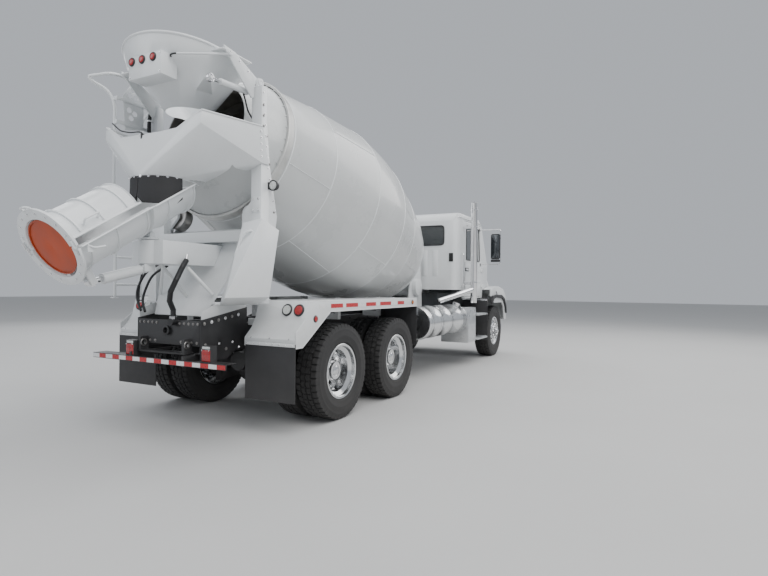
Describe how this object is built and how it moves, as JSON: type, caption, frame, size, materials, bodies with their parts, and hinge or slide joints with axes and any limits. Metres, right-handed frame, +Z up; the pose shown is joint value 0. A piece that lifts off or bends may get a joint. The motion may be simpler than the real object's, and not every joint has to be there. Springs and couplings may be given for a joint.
{
  "type": "concrete mixer truck",
  "caption": "Rear-discharge concrete mixer truck with a hollow cab, a turning inclined drum, a tilting charge hopper and a swinging, folding chute.",
  "frame": {"origin": "on the ground under the centre of the truck's box", "axes": "+X forward along the truck, +Y to the driver's left, +Z up"},
  "size_m": [9.7326, 2.9, 3.8032],
  "materials": {
    "black_paint": "satin",
    "bright_steel": "polished",
    "cast_grey": "matt",
    "dark_glass": "gloss",
    "dark_plastic": "matt",
    "drum_paint": "satin",
    "flap_rubber": "matt",
    "interior": "matt",
    "polished_aluminium": "polished",
    "tyre_rubber": "matt",
    "white_paint": "gloss",
    "worn_steel": "greasy"
  },
  "bodies": {
    "root": {"chassis_frame": "black_paint", "front_bumper": "bright_steel", "engine_block": "cast_grey", "front_axle_beam": "black_paint", "rear_axles": "black_paint", "suspension": "black_paint", "cab_shell": "white_paint", "cab_glass": "dark_glass", "cab_interior": "interior", "fuel_tank": "polished_aluminium", "water_tank": "white_paint", "cab_steps": "polished_aluminium", "exhaust_stack": "bright_steel", "rear_fenders": "white_paint", "rubber_flaps": "flap_rubber", "light_bar": "black_paint", "front_pedestal": "white_paint", "drum_gearbox": "cast_grey", "rear_pedestal": "white_paint", "collector": "white_paint", "collector_flap": "flap_rubber", "ladder": "white_paint", "hydraulic_hoses": "flap_rubber", "chute_arm": "white_paint"},
    "steering_wheel": {"steering_wheel": "dark_plastic"},
    "door_left": {"door_left": "white_paint", "door_glass_left": "dark_glass", "mirror_left": "dark_plastic"},
    "door_right": {"door_right": "white_paint", "door_glass_right": "dark_glass", "mirror_right": "dark_plastic"},
    "hood": {"hood": "white_paint", "hood_trim": "dark_plastic"},
    "knuckle_left": {"knuckle_left": "black_paint"},
    "knuckle_right": {"knuckle_right": "black_paint"},
    "front_wheel_left": {"front_tyre_left": "tyre_rubber", "front_rim_left": "polished_aluminium"},
    "front_wheel_right": {"front_tyre_right": "tyre_rubber", "front_rim_right": "polished_aluminium"},
    "middle_wheels_left": {"middle_tyres_left": "tyre_rubber", "middle_rims_left": "polished_aluminium"},
    "middle_wheels_right": {"middle_tyres_right": "tyre_rubber", "middle_rims_right": "polished_aluminium"},
    "rear_wheels_left": {"rear_tyres_left": "tyre_rubber", "rear_rims_left": "polished_aluminium"},
    "rear_wheels_right": {"rear_tyres_right": "tyre_rubber", "rear_rims_right": "polished_aluminium"},
    "drum": {"drum_shell": "drum_paint", "drum_track": "worn_steel"},
    "roller_left": {"roller_left": "worn_steel"},
    "roller_right": {"roller_right": "worn_steel"},
    "charge_hopper": {"charge_hopper": "white_paint"},
    "hopper_ram_barrel": {"hopper_ram_barrel": "white_paint"},
    "hopper_ram_rod": {"hopper_ram_rod": "bright_steel"},
    "chute_swivel": {"chute_swivel": "white_paint"},
    "main_chute": {"main_chute": "white_paint"},
    "fold_chute": {"fold_chute": "white_paint"},
    "lift_ram_barrel": {"lift_ram_barrel": "white_paint"},
    "lift_ram_rod": {"lift_ram_rod": "bright_steel"}
  },
  "joints": [
    {"name": "steer_left", "type": "hinge", "parent": "root", "child": "knuckle_left", "pos_m": [4.14633, 0.85, 0.54], "axis": [0, 0, 1], "range_deg": [-33, 33]},
    {"name": "steer_right", "type": "hinge", "parent": "root", "child": "knuckle_right", "pos_m": [4.14633, -0.85, 0.54], "axis": [0, 0, 1], "range_deg": [-33, 33]},
    {"name": "front_wheel_left_spin", "type": "hinge", "parent": "knuckle_left", "child": "front_wheel_left", "pos_m": [4.14633, 0.98, 0.54], "axis": [0, 1, 0], "continuous": true},
    {"name": "front_wheel_right_spin", "type": "hinge", "parent": "knuckle_right", "child": "front_wheel_right", "pos_m": [4.14633, -0.98, 0.54], "axis": [0, 1, 0], "continuous": true},
    {"name": "middle_wheels_left_spin", "type": "hinge", "parent": "root", "child": "middle_wheels_left", "pos_m": [-0.86367, 0.915, 0.525], "axis": [0, 1, 0], "continuous": true},
    {"name": "rear_wheels_left_spin", "type": "hinge", "parent": "root", "child": "rear_wheels_left", "pos_m": [-2.23367, 0.915, 0.525], "axis": [0, 1, 0], "continuous": true},
    {"name": "middle_wheels_right_spin", "type": "hinge", "parent": "root", "child": "middle_wheels_right", "pos_m": [-0.86367, -0.915, 0.525], "axis": [0, 1, 0], "continuous": true},
    {"name": "rear_wheels_right_spin", "type": "hinge", "parent": "root", "child": "rear_wheels_right", "pos_m": [-2.23367, -0.915, 0.525], "axis": [0, 1, 0], "continuous": true},
    {"name": "steering_wheel_turn", "type": "hinge", "parent": "root", "child": "steering_wheel", "pos_m": [3.28633, 0.52, 1.92], "axis": [-0.9511, 0, 0.309], "range_deg": [-462, 462]},
    {"name": "door_left_hinge", "type": "hinge", "parent": "root", "child": "door_left", "pos_m": [3.47833, 1.034, 1.66], "axis": [0, 0, -1], "range_deg": [0, 65]},
    {"name": "door_right_hinge", "type": "hinge", "parent": "root", "child": "door_right", "pos_m": [3.47833, -1.034, 1.66], "axis": [0, 0, 1], "range_deg": [0, 65]},
    {"name": "hood_hinge", "type": "hinge", "parent": "root", "child": "hood", "pos_m": [4.76133, 0, 0.69], "axis": [0, 1, 0], "range_deg": [0, 60]},
    {"name": "drum_spin", "type": "hinge", "parent": "root", "child": "drum", "pos_m": [-0.23367, 0, 2.315], "axis": [-0.9659, 0, 0.2588], "continuous": true},
    {"name": "roller_left_spin", "type": "hinge", "parent": "root", "child": "roller_left", "pos_m": [-2.92687, 0.52884, 2.19356], "axis": [-0.9659, 0, 0.2588], "continuous": true},
    {"name": "roller_right_spin", "type": "hinge", "parent": "root", "child": "roller_right", "pos_m": [-2.92687, -0.52884, 2.19356], "axis": [-0.9659, 0, 0.2588], "continuous": true},
    {"name": "hopper_tilt", "type": "hinge", "parent": "root", "child": "charge_hopper", "pos_m": [-3.09367, 0, 3.47], "axis": [0, 1, 0], "range_deg": [0, 40]},
    {"name": "hopper_ram_swing", "type": "hinge", "parent": "root", "child": "hopper_ram_barrel", "pos_m": [-3.17867, -0.64, 3.372], "axis": [0, 1, 0], "range_deg": [0, 44.65]},
    {"name": "hopper_ram_extend", "type": "slide", "parent": "hopper_ram_barrel", "child": "hopper_ram_rod", "axis": [-0.9979, 0, -0.0646], "range_m": [0, 0.0835]},
    {"name": "chute_swing", "type": "hinge", "parent": "root", "child": "chute_swivel", "pos_m": [-3.77367, 0, 1.76], "axis": [0, 0, 1], "range_deg": [-60, 60]},
    {"name": "chute_tilt", "type": "hinge", "parent": "chute_swivel", "child": "main_chute", "pos_m": [-3.79367, 0, 1.925], "axis": [0, 1, 0], "range_deg": [0, 18]},
    {"name": "chute_fold", "type": "hinge", "parent": "main_chute", "child": "fold_chute", "pos_m": [-4.69501, 0, 1.72697], "axis": [0, -1, 0], "range_deg": [0, 180]},
    {"name": "lift_ram_swing", "type": "hinge", "parent": "chute_swivel", "child": "lift_ram_barrel", "pos_m": [-3.83367, 0, 1.6], "axis": [0, 1, 0], "range_deg": [0, 20.29]},
    {"name": "lift_ram_extend", "type": "slide", "parent": "lift_ram_barrel", "child": "lift_ram_rod", "axis": [-0.971, 0, -0.239], "range_m": [0, 0.1026]}
  ],
  "couplings": [
    {"joint": "steer_right", "follows": "steer_left", "ratio": 1},
    {"joint": "steering_wheel_turn", "follows": "steer_left", "ratio": 14},
    {"joint": "roller_left_spin", "follows": "drum_spin", "ratio": -6.4615},
    {"joint": "roller_right_spin", "follows": "drum_spin", "ratio": -6.4615},
    {"joint": "hopper_ram_swing", "follows": "hopper_tilt", "ratio": 1.0944},
    {"joint": "hopper_ram_extend", "follows": "hopper_tilt", "m_per_rad": 0.11728},
    {"joint": "lift_ram_swing", "follows": "chute_tilt", "ratio": 1.1053},
    {"joint": "lift_ram_extend", "follows": "chute_tilt", "m_per_rad": 0.32027}
  ]
}
